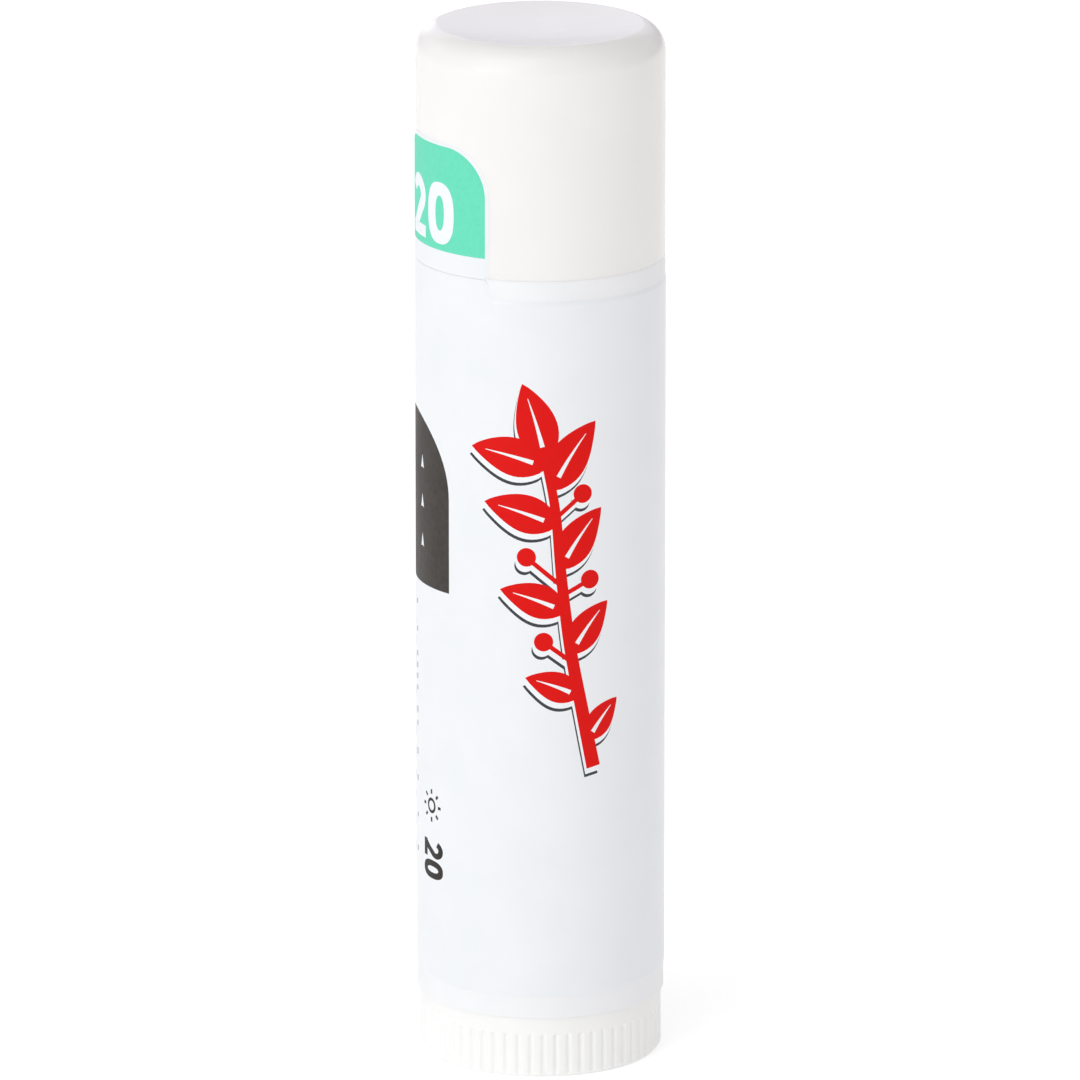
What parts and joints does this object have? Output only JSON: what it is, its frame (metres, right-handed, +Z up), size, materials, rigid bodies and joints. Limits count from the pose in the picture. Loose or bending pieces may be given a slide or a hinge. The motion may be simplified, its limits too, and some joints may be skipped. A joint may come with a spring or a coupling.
{
  "type": "lip balm stick",
  "caption": "Round white twist-up lip balm stick with a dished pull-off cap, a wrap label with a green seal tab and a ribbed wheel at the foot that raises the balm.",
  "frame": {"origin": "middle of the flat foot that the stick stands on", "axes": "+Z up along the stick to the cap; -Y is the printed front"},
  "size_m": [0.0162, 0.0162, 0.068],
  "materials": {
    "cap": "glossy warm white polypropylene",
    "seal_tab": "white label film with a green printed patch",
    "tube": "satin white polypropylene",
    "wrap_label": "smooth cool white label film",
    "wheel_and_screw": "satin white polypropylene",
    "elevator_cup": "plain white polypropylene",
    "balm": "waxy ivory balm"
  },
  "bodies": {
    "stick_body": {"tube": "tube", "wrap_label": "wrap_label"},
    "wheel": {"wheel_and_screw": "wheel_and_screw"},
    "elevator": {"elevator_cup": "elevator_cup", "balm": "balm"},
    "cap": {"cap": "cap", "seal_tab": "seal_tab"}
  },
  "joints": [
    {"name": "wheel_turn", "type": "hinge", "parent": "stick_body", "child": "wheel", "pos_m": [0, 0, 0], "axis": [0, 0, 1], "range_deg": [0, 4320]},
    {"name": "balm_lift", "type": "slide", "parent": "stick_body", "child": "elevator", "axis": [0, 0, 1], "range_m": [0, 0.0384]},
    {"name": "cap_pull", "type": "slide", "parent": "elevator", "child": "cap", "axis": [0, 0, 1], "range_m": [0, 0.02]}
  ],
  "couplings": [
    {"joint": "wheel_turn", "follows": "balm_lift", "rad_per_m": 1963.5}
  ]
}
